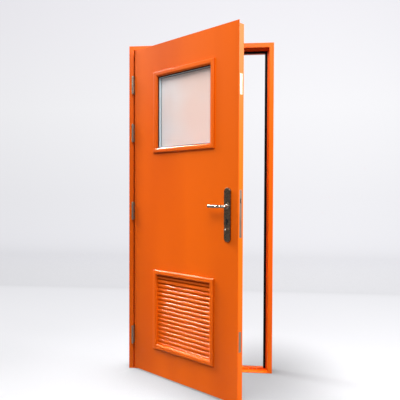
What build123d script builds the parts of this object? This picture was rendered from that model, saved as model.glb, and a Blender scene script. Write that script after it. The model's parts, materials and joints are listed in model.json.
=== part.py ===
"""Louvred steel door in its own frame, standing open: a folded steel leaf with a glazed
vision panel, a louvre, four barrel hinges and a three-point lock.

Millimetres, Z up. X runs along the frame and Y into the wall. The origin is on the floor, at
the middle of the frame and in the plane of its face. The leaf's pieces are modelled shut and
turned about the hinge pins when they are written.
"""
import os

from build123d import *

# Frame
frame_width = 895.0
frame_height = 2020.0
frame_depth = 86.0
face_width = 28.0
rebate_depth = 50.0
stop_height = 22.0
wall_return = 30.0
back_return = 20.0
frame_sheet = 1.5
fold_radius = 2.0
fixing_hole_radius = 5.25
fixings_from_floor = (120.0, 700.0)
fixings_from_top = (770.0, 170.0)
fixing_depth = 34.0
seal_width = 12.0
seal_gap = 0.4
seal_inset = 1.0
seal_base = 2.0
seal_round = 2.6
sill_thickness = 5.0
upstand_height = 15.0
weep_radius = 2.5
weep_pitch = 25.0
weep_count = 3
weep_margin = 94.0
weep_height = 9.5

# Leaf
leaf_thickness = 44.0
hinge_side_gap = 6.5
lock_side_gap = 3.0
top_gap = 4.0
bottom_gap = 10.0
leaf_sheet = 1.2
lock_lip = 5.0
top_lip = 14.0
channel_sheet = 1.5
channel_width = 40.0
open_angle = 37.33

# Vision panel and louvre: places on the leaf, and the beads round them
panel_margin = 180.0
panel_width = 485.0
vision_height = 480.0
vision_below_top = 164.5
louvre_height = 475.0
louvre_base = 170.0
bead_width = 29.0
bead_proud = 11.0
bead_edge = 3.0
bead_outer_slope = 8.0
bead_inner_slope = 6.0
bead_foot = 12.0
bead_sheet = 1.5
aperture_inset = 13.0
pane_thickness = 4.0
pane_depth = 8.0
cavity = 16.0
pane_clearance = 4.0
spacer_inset = 4.0
gasket_proud = 4.0

# Louvre blades
blade_count = 17
blade_pitch = 25.0
blade_sheet = 1.2
blade_first_up = 35.5
blade_front = 4.0
blade_lip = 10.0
blade_rise = 20.0
blade_run = 22.0
blade_back_lip = 6.0
blade_fold = 4.0
rail_sheet = 1.5
rail_front = 3.0
rail_depth = 35.0

# Hinges
hinges_from_floor = (216.0, 995.0)
hinges_from_top = (541.0, 243.0)
hinge_length = 107.0
knuckle_count = 5
knuckle_gap = 0.5
barrel_radius = 7.5
pin_radius = 4.0
pin_clearance = 0.05
pin_from_edge = 26.0
pin_proud = 11.0
pin_cap_height = 2.5
pin_cap_radius = 6.5
flap_thickness = 3.0
flap_depth = 34.0
flap_start = 2.0
hinge_screw_radius = 2.5
hinge_screw_head = 4.4
hinge_screw_length = 12.0
screw_slack = 0.02
screw_pattern = ((0.35, -0.36), (0.7, -0.12), (0.7, 0.12), (0.35, 0.36))

# Lock and handles
lever_height = 1035.0
backset = 65.0
lock_depth = 24.0
faceplate_width = 20.0
faceplate_thickness = 3.0
main_plate_below_lever = 162.0
main_plate_length = 249.0
side_plate_length = 108.0
lower_plate_centre = 330.5
upper_plate_below_top = 323.0
side_bolt_pitch = 25.0
side_bolt_radius = 6.0
bolt_throw = 20.0
latch_above_lever = 29.0
latch_tall = 22.0
latch_thick = 11.0
deadbolt_below_lever = 83.0
deadbolt_tall = 34.0
deadbolt_thick = 11.0
case_thickness = 16.0
case_length = 92.0
case_below_lever = 130.0
case_above_lever = 70.0
side_case_length = 60.0
side_case_tall = 100.0
carriage_length = 8.0
side_bolt_length = 34.0
latch_length = 42.0
deadbolt_length = 56.0
bolt_clearance = 0.35
rod_width = 10.0
rod_thickness = 3.0
rod_from_edge = 20.0
rod_above_lever = 45.0
rod_below_lever = 105.0
rod_from_plate_centre = 44.5

# Keeps in the lock jamb
keep_slot_width = 18.0
keep_slot_length = 190.0
side_keep_slot_length = 60.0
keep_wall = 1.5
keep_depth = 20.0
keep_flange = 10.0

# Handle furniture
plate_width = 44.0
plate_thickness = 9.0
plate_above_lever = 98.0
plate_below_lever = 186.0
plate_edge_round = 3.0
cylinder_below_lever = 72.0
cylinder_radius = 8.5
cylinder_neck = 10.0
cylinder_tall = 33.0
plug_radius = 6.0
knob_below_lever = 121.0
knob_radius = 7.0
knob_proud = 20.0
knob_shaft_radius = 3.0
lever_radius = 9.5
lever_proud = 54.0
lever_length = 112.0
lever_return = 22.0
lever_bend = 16.0
spindle_size = 8.0
running_gap = 0.3
lever_root = 1.0
spindle_seat = 16.0
follower_radius = 6.2
skin_hole_radius = 12.0
lock_hole_gap = 0.2
case_hole_gap = 0.2
plate_bolt_radius = 2.5
plate_bolt_places = ((0, 82.0), (0, -160.0))
plate_skin = 3.0
cylinder_proud = 1.0
plug_back = 18.0
keyway_width = 1.8
keyway_tall = 8.0
keyway_depth = 4.0
knob_round = 2.0
faceplate_round = 2.0
plate_screw_radius = 2.4
plate_screw_end = 9.0
latch_nose = 2.0
deadbolt_chamfer = 1.0
outer_foot = 5.0
core_gap = 1.5
cut_past = 2.0

# Worked out from the above
half_width = frame_width / 2
wall_x = half_width - face_width
stop_x = wall_x - stop_height
hinge_edge = -wall_x + hinge_side_gap
lip_edge = wall_x - lock_side_gap
body_edge = lip_edge - lock_lip
leaf_top = frame_height - face_width - top_gap
fixing_heights = [*fixings_from_floor, *(frame_height - down for down in fixings_from_top)]
hinge_heights = [*hinges_from_floor, *(frame_height - down for down in hinges_from_top)]
body_top = leaf_top - top_lip
pin_x = -half_width + pin_from_edge
pin_y = -pin_proud
panel_x = hinge_edge + panel_margin + panel_width / 2
vision_z = leaf_top - vision_below_top - vision_height / 2
louvre_z = louvre_base + louvre_height / 2
blade_first = louvre_base + blade_first_up
back_of_glass = pane_depth + 2 * pane_thickness + cavity
lock_x = body_edge - backset
cylinder_height = lever_height - cylinder_below_lever
edge_back = body_edge - leaf_sheet - channel_sheet
leaf_flap_x = hinge_edge - flap_thickness
plate_back = body_edge - faceplate_thickness
case_bottom = lever_height - case_below_lever
case_top = lever_height + case_above_lever
latch_height = lever_height + latch_above_lever
deadbolt_height = lever_height - deadbolt_below_lever
main_plate_centre = lever_height - main_plate_below_lever + main_plate_length / 2
side_plate_centres = (lower_plate_centre, leaf_top - upper_plate_below_top)
upper_rod_ends = (lever_height + rod_above_lever, side_plate_centres[1] - rod_from_plate_centre)
lower_rod_ends = (side_plate_centres[0] + rod_from_plate_centre, lever_height - rod_below_lever)
knob_height = lever_height - knob_below_lever
faceplates = ((main_plate_centre, main_plate_length),
              (side_plate_centres[0], side_plate_length),
              (side_plate_centres[1], side_plate_length))
open_leaf = (Pos(pin_x, pin_y, 0) * Rot(0, 0, -open_angle) * Pos(-pin_x, -pin_y, 0))

os.makedirs("parts", exist_ok=True)


def save(part, name):
    """Write one piece of the frame."""
    part.label = name
    export_step(part, f"parts/{name}.step")


def save_on_leaf(part, name):
    """Write one piece of the leaf, swung open with it."""
    save(part.moved(open_leaf), name)


def upright(x, y, z):
    """A plane seen from the front of the door: its X is the door's X and its Y is up."""
    return Plane(origin=(x, y, z), x_dir=(1, 0, 0), z_dir=(0, -1, 0))


def side_on(x, y, z):
    """A plane seen from the lock side: its X runs into the wall and its Y is up."""
    return Plane(origin=(x, y, z), x_dir=(0, 1, 0), z_dir=(1, 0, 0))


def folded(points, thickness, radius, side):
    """The section of a folded sheet: a rounded run of points given one thickness."""
    with BuildSketch() as section:
        with BuildLine():
            FilletPolyline(*points, radius=radius)
            offset(amount=thickness, side=side)
        make_face()
    return section.sketch


# The hinges' screws come first, because the jamb and the leaf take their holes from them

def screws_of_flap(centre, on_leaf, slack):
    """The countersunk screws of one flap, thinner than their holes by slack."""
    side = 1 if on_leaf else -1
    face = leaf_flap_x if on_leaf else -wall_x + flap_thickness
    with BuildPart() as screws:
        for across, up in screw_pattern:
            centre_line = Plane(
                origin=(face, flap_start + flap_depth * across, centre + hinge_length * up),
                x_dir=(0, 1, 0), z_dir=(side, 0, 0))
            with BuildSketch(centre_line):
                Circle(hinge_screw_radius - slack)
            extrude(amount=hinge_screw_length)
            with BuildSketch(centre_line):
                Circle(hinge_screw_head - slack)
            extrude(amount=hinge_screw_head - hinge_screw_radius, taper=45)
    return screws.part


def all_hinge_screws(on_leaf, slack):
    """The screws of the four flaps on one side."""
    screws = []
    for height in hinge_heights:
        screws += screws_of_flap(height, on_leaf, slack).solids()
    return screws


# The frame's jambs and head share one folded section, mitred at the top corners

jamb_points = [
    (0, wall_return),
    (0, 0),
    (face_width, 0),
    (face_width, rebate_depth),
    (face_width + stop_height, rebate_depth),
    (face_width + stop_height, frame_depth),
    (0, frame_depth),
    (0, frame_depth - back_return),
]
jamb_section = folded(jamb_points, frame_sheet, fold_radius, Side.LEFT)


def mitre_cut(side):
    """A wedge that takes away all beyond the 45 degree joint at a top corner."""
    reach = 2 * (face_width + stop_height)
    with BuildPart() as wedge:
        with BuildSketch(Plane.XZ.offset(-2 * frame_depth)):
            with BuildLine():
                Polyline(
                    (side * (half_width + reach), frame_height + reach),
                    (side * (half_width - reach), frame_height - reach),
                    (side * (half_width - reach), frame_height + reach),
                    close=True,
                )
            make_face()
        extrude(amount=3 * frame_depth)
    return wedge.part


def jamb(side):
    """One jamb: side is -1 for the hinge jamb and 1 for the lock jamb."""
    with BuildPart() as post:
        with BuildSketch(Plane.XY):
            add(jamb_section)
        extrude(amount=frame_height)
    placed = Pos(-half_width, 0, 0) * post.part
    if side > 0:
        placed = placed.mirror(Plane.YZ)
    wall_plane = side_on(side * wall_x, 0, 0)
    with BuildPart() as finished:
        add(placed)
        add(mitre_cut(side), mode=Mode.SUBTRACT)
        with BuildSketch(wall_plane):
            with Locations(*[(fixing_depth, height) for height in fixing_heights]):
                Circle(fixing_hole_radius)
        extrude(amount=2 * frame_sheet, both=True, mode=Mode.SUBTRACT)
        if side < 0:
            add(all_hinge_screws(False, 0), mode=Mode.SUBTRACT)
        else:
            with BuildSketch(wall_plane):
                with Locations((lock_depth, main_plate_centre)):
                    Rectangle(keep_slot_width, keep_slot_length)
                with Locations(*[(lock_depth, centre) for centre in side_plate_centres]):
                    Rectangle(keep_slot_width, side_keep_slot_length)
            extrude(amount=2 * frame_sheet, both=True, mode=Mode.SUBTRACT)
    return finished.part


save(jamb(-1), "hinge_jamb")
save(jamb(1), "lock_jamb")

with BuildPart() as head_blank:
    with BuildSketch(Plane.XY):
        add(jamb_section)
    extrude(amount=frame_width)
head_placed = Plane(
    origin=(-half_width, 0, frame_height), x_dir=(0, 0, -1), z_dir=(1, 0, 0)
) * head_blank.part

with BuildPart() as frame_head:
    add(head_placed)
    for side in (-1, 1):
        reach = 2 * (face_width + stop_height)
        with BuildSketch(Plane.XZ.offset(-2 * frame_depth)):
            with BuildLine():
                Polyline(
                    (side * half_width, frame_height),
                    (side * (half_width - reach), frame_height - reach),
                    (side * (half_width + reach), frame_height - reach),
                    close=True,
                )
            make_face()
        extrude(amount=3 * frame_depth, mode=Mode.SUBTRACT)
save(frame_head.part, "frame_head")

# Threshold: a low sill with an upstand that the leaf shuts against

sill_points = [
    (0, 0),
    (0, sill_thickness),
    (rebate_depth, sill_thickness),
    (rebate_depth, upstand_height),
    (frame_depth, upstand_height),
    (frame_depth, 0),
]
weep_places = [weep_margin + index * weep_pitch for index in range(weep_count)]
notch_front = rebate_depth - fold_radius

with BuildPart() as threshold:
    with BuildSketch(Plane.YZ):
        add(folded(sill_points, frame_sheet, fold_radius, Side.RIGHT))
    extrude(amount=wall_x, both=True)
    with BuildSketch(Plane.XY):
        for side in (-1, 1):
            with Locations((side * (stop_x + wall_x) / 2, notch_front + frame_depth / 2)):
                Rectangle(stop_height, frame_depth)
    extrude(amount=2 * upstand_height, mode=Mode.SUBTRACT)
    with BuildSketch(upright(0, rebate_depth, weep_height)):
        for side in (-1, 1):
            with Locations(*[(side * (half_width - place), 0) for place in weep_places]):
                Circle(weep_radius)
    extrude(amount=2 * frame_sheet, both=True, mode=Mode.SUBTRACT)
save(threshold.part, "threshold")

# Rubber seals on the stops, which the leaf shuts against

seal_height = rebate_depth - leaf_thickness - seal_gap


def seal_section(x_out):
    """A bulb seal: a flat foot on the stop with a rounded crown, x_out is its outer side."""
    with BuildSketch() as bulb:
        with Locations((x_out - seal_width / 2, rebate_depth - seal_base / 2)):
            Rectangle(seal_width, seal_base)
        with Locations((x_out - seal_width / 2, rebate_depth - seal_height / 2)):
            RectangleRounded(seal_width - 2 * seal_inset, seal_height, seal_round)
    return bulb.sketch


seal_outer = stop_x + seal_width
seal_top = frame_height - face_width - stop_height + seal_width

for side, name in ((-1, "hinge_jamb_seal"), (1, "lock_jamb_seal")):
    with BuildPart() as upright_seal:
        with BuildSketch(Plane.XY.offset(upstand_height + running_gap)):
            add(seal_section(seal_outer))
        extrude(amount=seal_top - seal_width - upstand_height - 2 * running_gap)
    seal_part = upright_seal.part
    if side < 0:
        seal_part = seal_part.mirror(Plane.YZ)
    save(seal_part, name)

with BuildPart() as head_seal:
    with BuildSketch(Plane.YZ.offset(-seal_outer)):
        with Locations((rebate_depth - seal_base / 2, seal_top - seal_width / 2)):
            Rectangle(seal_base, seal_width)
        with Locations((rebate_depth - seal_height / 2, seal_top - seal_width / 2)):
            RectangleRounded(seal_height, seal_width - 2 * seal_inset, seal_round)
    extrude(amount=2 * seal_outer)
save(head_seal.part, "head_seal")

# Keeps: boxes behind the slots of the lock jamb, which the bolts shoot into


def keep(centre, slot_length, name):
    """One keep: a flanged box on the hidden side of the lock jamb's rebate wall."""
    hidden = wall_x + frame_sheet
    with BuildPart() as box:
        with BuildSketch(side_on(hidden, lock_depth, centre)):
            Rectangle(keep_slot_width + 2 * keep_wall, slot_length + 2 * keep_flange)
        extrude(amount=keep_wall)
        with BuildSketch(side_on(hidden, lock_depth, centre)):
            Rectangle(keep_slot_width + 2 * keep_wall, slot_length + 2 * keep_wall)
        extrude(amount=keep_depth)
        with BuildSketch(side_on(hidden, lock_depth, centre)):
            Rectangle(keep_slot_width, slot_length)
        extrude(amount=keep_depth - keep_wall, mode=Mode.SUBTRACT)
    save(box.part, name)


keep(main_plate_centre, keep_slot_length, "main_keep")
keep(side_plate_centres[0], side_keep_slot_length, "lower_keep")
keep(side_plate_centres[1], side_keep_slot_length, "upper_keep")

# Hinges: a frame flap, a leaf flap and a pin at each height

knuckle_pitch = hinge_length / knuckle_count
flap_tail = pin_proud + flap_start


def flap(centre, x_near, x_far, first, name, on_leaf):
    """A hinge flap: its plate between x_near and x_far, with every second knuckle from first."""
    base = centre - hinge_length / 2
    with BuildPart() as plate:
        with BuildSketch(Plane.XY.offset(base)):
            with Locations(((x_near + x_far) / 2, flap_start + flap_depth / 2)):
                Rectangle(flap_thickness, flap_depth)
        extrude(amount=hinge_length)
        for index in range(first, knuckle_count, 2):
            foot = base + index * knuckle_pitch + knuckle_gap / 2
            with BuildSketch(Plane.XY.offset(foot)):
                with Locations((pin_x, pin_y)):
                    Circle(barrel_radius)
                with Locations(((x_near + x_far) / 2, pin_y + flap_tail / 2)):
                    Rectangle(flap_thickness, flap_tail)
            extrude(amount=knuckle_pitch - knuckle_gap)
        with BuildSketch(Plane.XY.offset(base)):
            with Locations((pin_x, pin_y)):
                Circle(pin_radius + pin_clearance)
        extrude(amount=hinge_length, mode=Mode.SUBTRACT)
        add(screws_of_flap(centre, on_leaf, 0), mode=Mode.SUBTRACT)
    if on_leaf:
        save_on_leaf(plate.part, name)
    else:
        save(plate.part, name)


save(Compound(children=all_hinge_screws(False, screw_slack)), "frame_flap_screws")
save_on_leaf(Compound(children=all_hinge_screws(True, screw_slack)), "leaf_flap_screws")

for number, height in enumerate(hinge_heights, start=1):
    flap(height, -wall_x, -wall_x + flap_thickness, 0, f"hinge_frame_flap_{number}", False)
    flap(height, leaf_flap_x, hinge_edge, 1, f"hinge_leaf_flap_{number}", True)

pins = []
for height in hinge_heights:
    base = height - hinge_length / 2
    with BuildPart() as pin:
        with BuildSketch(Plane.XY.offset(base - pin_cap_height)):
            with Locations((pin_x, pin_y)):
                Circle(pin_cap_radius)
        extrude(amount=pin_cap_height)
        with BuildSketch(Plane.XY.offset(base)):
            with Locations((pin_x, pin_y)):
                Circle(pin_radius)
        extrude(amount=hinge_length)
        with BuildSketch(Plane.XY.offset(base + hinge_length)):
            with Locations((pin_x, pin_y)):
                Circle(pin_cap_radius)
        extrude(amount=pin_cap_height)
        chamfer(pin.edges().filter_by(GeomType.CIRCLE).group_by(Axis.Z)[0], 1.0)
        chamfer(pin.edges().filter_by(GeomType.CIRCLE).group_by(Axis.Z)[-1], 1.0)
    pins.append(pin.part.solid())
save(Compound(children=pins), "hinge_pins")

# Leaf: two folded skins with stile and rail channels between them


def leaf_block(x_low, x_high, y_low, y_high, z_low, z_high):
    """A plain block of the leaf between two corners."""
    with BuildPart() as block:
        with BuildSketch(Plane.XY.offset(z_low)):
            with Locations(((x_low + x_high) / 2, (y_low + y_high) / 2)):
                Rectangle(x_high - x_low, y_high - y_low)
        extrude(amount=z_high - z_low)
    return block.part


def panel_block(centre_z, height, margin, y_low, y_high):
    """A block the size of a panel's aperture plus a margin all round."""
    across = panel_width / 2 - aperture_inset + margin
    tall = height / 2 - aperture_inset + margin
    return leaf_block(panel_x - across, panel_x + across, y_low, y_high,
                      centre_z - tall, centre_z + tall)


def apertures(margin):
    """The openings for the vision panel and for the louvre, right through the leaf."""
    return [panel_block(centre, height, margin, -cut_past, leaf_thickness + cut_past)
            for centre, height in ((vision_z, vision_height), (louvre_z, louvre_height))]


def euro_profile(gap):
    """The outline of a euro-profile cylinder about its plug, in a plane seen from the front."""
    foot_radius = cylinder_neck / 2
    foot = cylinder_tall - cylinder_radius - foot_radius
    with BuildSketch() as profile:
        Circle(cylinder_radius + gap)
        with Locations((0, -foot)):
            Circle(foot_radius + gap)
        with Locations((0, -foot / 2)):
            Rectangle(cylinder_neck + 2 * gap, foot)
    return profile.sketch


def lock_holes(spindle_radius, gap, with_knob):
    """The holes through the leaf for spindle, cylinder, plate bolts and turn knob."""
    depth = plate_thickness + cut_past
    with BuildPart() as holes:
        with BuildSketch(upright(lock_x, leaf_thickness + depth, lever_height)):
            Circle(spindle_radius)
            with Locations((0, -cylinder_below_lever)):
                add(euro_profile(gap))
            with Locations(*plate_bolt_places):
                Circle(plate_bolt_radius)
            if with_knob:
                with Locations((0, -knob_below_lever)):
                    Circle(knob_shaft_radius + running_gap)
        extrude(amount=leaf_thickness + 2 * depth)
    return holes.part


def faceplate_blocks(gap, x_low):
    """The main, lower and upper faceplates, grown by a gap, from x_low to the leaf's edge."""
    blocks = []
    for centre, length in faceplates:
        blocks.append(leaf_block(
            x_low, body_edge + gap,
            lock_depth - faceplate_width / 2 - gap, lock_depth + faceplate_width / 2 + gap,
            centre - length / 2 - gap, centre + length / 2 + gap))
    return blocks


def main_case_block(gap):
    """The outer form of the lock case, grown by a gap."""
    return leaf_block(plate_back - case_length - gap, plate_back + gap,
                      lock_depth - case_thickness / 2 - gap,
                      lock_depth + case_thickness / 2 + gap,
                      case_bottom - gap, case_top + gap)


def side_case_block(centre, gap):
    """The outer form of an upper or lower bolt case, grown by a gap."""
    return leaf_block(plate_back - side_case_length - gap, plate_back + gap,
                      lock_depth - case_thickness / 2 - gap,
                      lock_depth + case_thickness / 2 + gap,
                      centre - side_case_tall / 2 - gap, centre + side_case_tall / 2 + gap)


with BuildPart() as outer_skin:
    add(leaf_block(hinge_edge, lip_edge, 0, leaf_sheet, bottom_gap, leaf_top))
    add(leaf_block(hinge_edge, lip_edge, leaf_sheet, 2 * leaf_sheet, body_top, leaf_top))
    add(leaf_block(body_edge, lip_edge, leaf_sheet, 2 * leaf_sheet, bottom_gap, leaf_top))
    add(apertures(0), mode=Mode.SUBTRACT)
    add(lock_holes(skin_hole_radius, lock_hole_gap, True), mode=Mode.SUBTRACT)
save_on_leaf(outer_skin.part, "outer_skin")

with BuildPart() as inner_skin:
    add(leaf_block(hinge_edge, body_edge, leaf_sheet, leaf_thickness, bottom_gap, body_top))
    add(leaf_block(hinge_edge + leaf_sheet, body_edge - leaf_sheet, leaf_sheet,
                   leaf_thickness - leaf_sheet, bottom_gap + leaf_sheet, body_top - leaf_sheet),
        mode=Mode.SUBTRACT)
    add(apertures(0), mode=Mode.SUBTRACT)
    add(lock_holes(skin_hole_radius, lock_hole_gap, False), mode=Mode.SUBTRACT)
    add(faceplate_blocks(0, edge_back), mode=Mode.SUBTRACT)
    add(all_hinge_screws(True, 0), mode=Mode.SUBTRACT)
save_on_leaf(inner_skin.part, "inner_skin")

channel_front = leaf_sheet
channel_back = leaf_thickness - leaf_sheet
channel_left = hinge_edge + leaf_sheet
channel_right = body_edge - leaf_sheet
channel_bottom = bottom_gap + leaf_sheet
channel_top = body_top - leaf_sheet


def channel_section(length):
    """A C channel: its web along local Y, its flanges reaching towards local X."""
    with BuildSketch() as section:
        with Locations((channel_width / 2, length / 2)):
            Rectangle(channel_width, length)
        with Locations((channel_width / 2 + channel_sheet, length / 2)):
            Rectangle(channel_width, length - 2 * channel_sheet, mode=Mode.SUBTRACT)
    return section.sketch


def stile(side):
    """A stile channel along the hinge edge (side -1) or the lock edge (side 1)."""
    corner = channel_left if side < 0 else channel_right
    flat = Plane(origin=(corner, channel_front if side < 0 else channel_back, channel_bottom),
                 x_dir=(-side, 0, 0), z_dir=(0, 0, 1))
    with BuildPart() as channel:
        with BuildSketch(flat):
            add(channel_section(channel_back - channel_front))
        extrude(amount=channel_top - channel_bottom)
    return channel.part


def rail(height, up):
    """A rail channel between the stiles: up is 1 at the bottom of the leaf, -1 at the top."""
    start = channel_left + channel_width if up > 0 else channel_right - channel_width
    with BuildPart() as channel:
        with BuildSketch(Plane(origin=(start, channel_back, height),
                               x_dir=(0, 0, up), z_dir=(up, 0, 0))):
            add(channel_section(channel_back - channel_front))
        extrude(amount=channel_right - channel_left - 2 * channel_width)
    return channel.part


with BuildPart() as hinge_stile_channel:
    add(stile(-1))
    add(all_hinge_screws(True, 0), mode=Mode.SUBTRACT)
save_on_leaf(hinge_stile_channel.part, "hinge_stile_channel")

with BuildPart() as lock_stile_channel:
    add(stile(1))
    add(faceplate_blocks(0, edge_back - channel_sheet), mode=Mode.SUBTRACT)
save_on_leaf(lock_stile_channel.part, "lock_stile_channel")

save_on_leaf(rail(channel_bottom, 1), "bottom_rail_channel")
save_on_leaf(rail(channel_top, -1), "top_rail_channel")

with BuildPart() as insulation_core:
    add(leaf_block(channel_left + channel_width, channel_right - channel_width,
                   channel_front, channel_back,
                   channel_bottom + channel_width, channel_top - channel_width))
    add(apertures(core_gap), mode=Mode.SUBTRACT)
    add(main_case_block(core_gap), mode=Mode.SUBTRACT)
    add([side_case_block(centre, core_gap) for centre in side_plate_centres],
        mode=Mode.SUBTRACT)
    add(lock_holes(skin_hole_radius, lock_hole_gap, True), mode=Mode.SUBTRACT)
save_on_leaf(insulation_core.part, "insulation_core")

# Beads: a folded ring round each panel, on either face of the leaf


def ring(width, height, centre_z, y, toward, section):
    """Sweep a section round a panel's edge. Its X runs inwards and its Y away from the leaf:
    toward is -1 on the outer face of the leaf and 1 on the inner face."""
    right = -toward * width / 2
    with BuildPart() as frame:
        with BuildLine(upright(panel_x, y, centre_z)):
            Polyline((0, -height / 2), (right, -height / 2), (right, height / 2),
                     (-right, height / 2), (-right, -height / 2), (0, -height / 2))
        with BuildSketch(Plane(origin=(panel_x, y, centre_z - height / 2),
                               x_dir=(0, 0, 1), z_dir=(-toward, 0, 0))):
            add(section)
        sweep(transition=Transition.RIGHT)
    return frame.part


def bead_section(foot_depth):
    """A bead: up a short edge, over two slopes and a flat, and down to a foot."""
    points = [
        (0, 0),
        (0, bead_edge),
        (bead_outer_slope, bead_proud),
        (bead_width - bead_inner_slope, bead_proud),
        (bead_width, bead_proud - bead_inner_slope),
        (bead_width, -foot_depth),
        (bead_width - bead_foot, -foot_depth),
    ]
    return folded(points, bead_sheet, fold_radius, Side.RIGHT)


def flat_section(inner, outer, thickness):
    """A plain strip between two distances from a panel's edge, with its back at local Y 0."""
    with BuildSketch() as strip:
        with Locations(((inner + outer) / 2, thickness / 2)):
            Rectangle(outer - inner, thickness)
    return strip.sketch


gasket_thickness = pane_depth - outer_foot
edge_cover = aperture_inset + pane_clearance
inner_foot = leaf_thickness - back_of_glass - gasket_thickness
louvre_inner_foot = leaf_thickness - rail_front - rail_depth
inner_pane_depth = back_of_glass - pane_thickness

save_on_leaf(ring(panel_width, vision_height, vision_z, 0, -1, bead_section(outer_foot)),
             "vision_bead_outer")
save_on_leaf(ring(panel_width, vision_height, vision_z, leaf_thickness, 1,
                  bead_section(inner_foot)), "vision_bead_inner")
save_on_leaf(ring(panel_width, louvre_height, louvre_z, 0, -1, bead_section(rail_front)),
             "louvre_bead_outer")
save_on_leaf(ring(panel_width, louvre_height, louvre_z, leaf_thickness, 1,
                  bead_section(louvre_inner_foot)), "louvre_bead_inner")

# Double glazing: two panes, the spacer between them and a gasket on each side

gasket = flat_section(edge_cover, bead_width + gasket_proud, gasket_thickness)
spacer = flat_section(edge_cover + spacer_inset, bead_width + gasket_proud, cavity)
save_on_leaf(ring(panel_width, vision_height, vision_z, pane_depth, -1, gasket),
             "outer_gasket")
save_on_leaf(ring(panel_width, vision_height, vision_z, back_of_glass, 1, gasket),
             "inner_gasket")
save_on_leaf(ring(panel_width, vision_height, vision_z, inner_pane_depth, -1, spacer),
             "pane_spacer")
for name, depth in (("outer_pane", pane_depth), ("inner_pane", inner_pane_depth)):
    pane = panel_block(vision_z, vision_height, -pane_clearance, depth, depth + pane_thickness)
    save_on_leaf(pane, name)

# Louvre: folded blades between two side rails, welded up as one piece

blade_points = [
    (blade_front, -blade_lip),
    (blade_front, 0),
    (blade_front + blade_run, blade_rise),
    (blade_front + blade_run, blade_rise + blade_back_lip),
]
blade_section = folded(blade_points, blade_sheet, blade_fold, Side.RIGHT)
blade_span = panel_width - 2 * aperture_inset - 2 * rail_sheet

with BuildPart() as louvre_blades:
    for side in (-1, 1):
        inside = panel_x + side * blade_span / 2
        add(leaf_block(min(inside, inside + side * rail_sheet),
                       max(inside, inside + side * rail_sheet),
                       rail_front, rail_front + rail_depth,
                       louvre_base + aperture_inset,
                       louvre_base + louvre_height - aperture_inset))
    for index in range(blade_count):
        with BuildSketch(side_on(panel_x - blade_span / 2, 0,
                                 blade_first + index * blade_pitch)):
            add(blade_section)
        extrude(amount=blade_span)
save_on_leaf(louvre_blades.part, "louvre_blades")

# Lock: case, faceplates and the bolts that slide in them


def slide_pocket(height, tall, thick, length):
    """The space in a case for a bolt of the given size, open towards the frame."""
    return leaf_block(body_edge - length - bolt_clearance, body_edge + cut_past,
                      lock_depth - thick / 2 - bolt_clearance,
                      lock_depth + thick / 2 + bolt_clearance,
                      height - tall / 2 - bolt_clearance, height + tall / 2 + bolt_clearance)


def rod_block(ends, gap):
    """A drive rod between its two ends, grown by a gap."""
    centre = body_edge - rod_from_edge
    return leaf_block(centre - rod_thickness / 2 - gap, centre + rod_thickness / 2 + gap,
                      lock_depth - rod_width / 2 - gap, lock_depth + rod_width / 2 + gap,
                      ends[0] - gap, ends[1] + gap)


def round_bolts(centre, radius, x_low, x_high):
    """Two round bolts side by side, one above the other."""
    with BuildPart() as rods:
        with BuildSketch(side_on(x_low, lock_depth, centre)):
            with Locations((0, -side_bolt_pitch / 2), (0, side_bolt_pitch / 2)):
                Circle(radius)
        extrude(amount=x_high - x_low)
    return rods.part


carriage_tall = side_bolt_pitch + 2 * side_bolt_radius
carriage_back = body_edge - side_bolt_length - carriage_length
rod_slots = [rod_block((upper_rod_ends[0], upper_rod_ends[1] + bolt_throw), bolt_clearance),
             rod_block((lower_rod_ends[0] - bolt_throw, lower_rod_ends[1]), bolt_clearance)]

with BuildPart() as lock_case:
    add(main_case_block(0))
    add(slide_pocket(latch_height, latch_tall, latch_thick, latch_length), mode=Mode.SUBTRACT)
    add(slide_pocket(deadbolt_height, deadbolt_tall, deadbolt_thick, deadbolt_length),
        mode=Mode.SUBTRACT)
    add(rod_slots, mode=Mode.SUBTRACT)
    add(lock_holes(follower_radius, case_hole_gap, True), mode=Mode.SUBTRACT)
save_on_leaf(lock_case.part, "lock_case")

for centre, name in zip(side_plate_centres, ("lower", "upper")):
    with BuildPart() as side_case:
        add(side_case_block(centre, 0))
        add(leaf_block(carriage_back - bolt_clearance,
                       carriage_back + carriage_length + bolt_throw + bolt_clearance,
                       lock_depth - side_bolt_radius - bolt_clearance,
                       lock_depth + side_bolt_radius + bolt_clearance,
                       centre - carriage_tall / 2 - bolt_clearance,
                       centre + carriage_tall / 2 + bolt_clearance), mode=Mode.SUBTRACT)
        add(round_bolts(centre, side_bolt_radius + bolt_clearance, carriage_back, body_edge),
            mode=Mode.SUBTRACT)
        add(rod_slots, mode=Mode.SUBTRACT)
    save_on_leaf(side_case.part, f"{name}_bolt_case")

    with BuildPart() as bolts:
        add(leaf_block(carriage_back, carriage_back + carriage_length,
                       lock_depth - side_bolt_radius, lock_depth + side_bolt_radius,
                       centre - carriage_tall / 2, centre + carriage_tall / 2))
        add(round_bolts(centre, side_bolt_radius, carriage_back + carriage_length, body_edge))
    save_on_leaf(bolts.part, f"{name}_bolts")

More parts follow.
